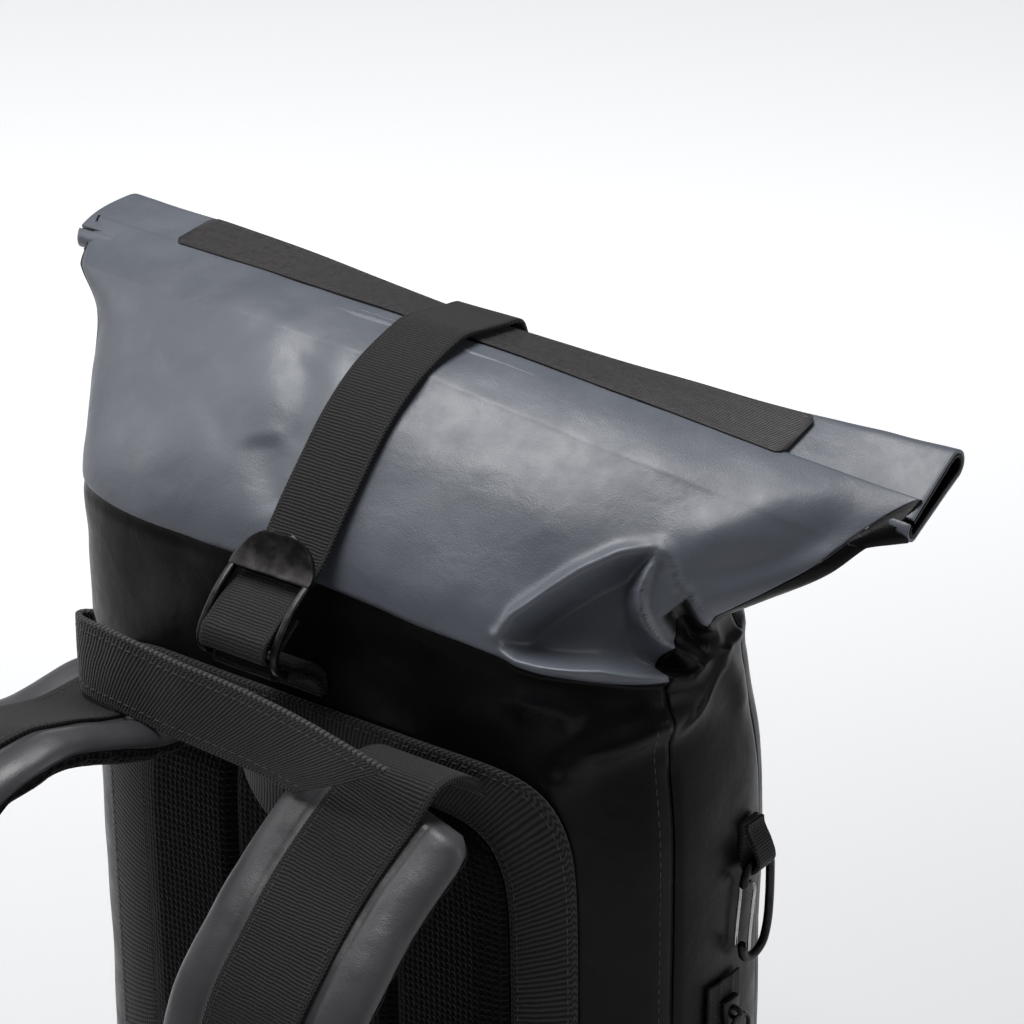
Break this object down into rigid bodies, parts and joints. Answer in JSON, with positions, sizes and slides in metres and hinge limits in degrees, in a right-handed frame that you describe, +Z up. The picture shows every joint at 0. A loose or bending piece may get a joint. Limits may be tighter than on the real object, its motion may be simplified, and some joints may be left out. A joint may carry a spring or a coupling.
{
  "type": "rolltop backpack",
  "caption": "Upright rolltop backpack of coated fabric, with a strapped roll closure, haul handle, padded shoulder straps, back pad, side zip and a small wire-gate clip.",
  "frame": {"origin": "middle of the base, on the floor it stands on", "axes": "+Z up, the worn side faces -Y, +X to the right of someone who looks at the worn side"},
  "size_m": [0.388, 0.288, 0.4374],
  "materials": {
    "black_coated": "coated cloth, semi-matte",
    "grey_coated": "coated cloth, soft sheen",
    "satin_tape": "smooth satin tape",
    "webbing": "ribbed webbing",
    "pad_mesh": "spacer mesh",
    "strap_coated": "coated padded cloth",
    "dark_metal": "dark, polished edges",
    "steel": "bright wire"
  },
  "bodies": {
    "bag": {"back_panel": "black_coated", "hood_panel": "grey_coated", "side_gusset_right": "black_coated", "side_gusset_left": "black_coated", "front_panel": "black_coated", "base_panel": "black_coated", "rolled_top": "grey_coated", "top_strip": "satin_tape", "ladder_buckle": "dark_metal", "front_hook": "dark_metal", "closure_strap": "webbing", "front_loop": "webbing", "buckle_anchor": "webbing", "back_pad": "pad_mesh", "pad_border": "webbing", "haul_handle": "webbing", "handle_underlay": "webbing", "shoulder_strap_right": "strap_coated", "shoulder_strap_left": "strap_coated", "strap_webbing_right": "webbing", "strap_webbing_left": "webbing", "strap_adjuster_right": "dark_metal", "strap_adjuster_left": "dark_metal", "strap_wing_right": "black_coated", "strap_wing_left": "black_coated", "lower_webbing_right": "webbing", "lower_webbing_left": "webbing", "carabiner_frame": "dark_metal", "side_tab": "webbing", "zip_tape": "webbing", "zip_slider": "dark_metal", "zip_pull": "dark_metal"},
    "gate": {"wire_gate": "steel"}
  },
  "joints": [
    {"name": "gate_hinge", "type": "hinge", "parent": "bag", "child": "gate", "pos_m": [0.147, 0.003, 0.232], "axis": [-1, 0, 0], "range_deg": [0, 25], "stiffness_Nm_per_rad": 0.05, "springref_deg": -11.46}
  ]
}
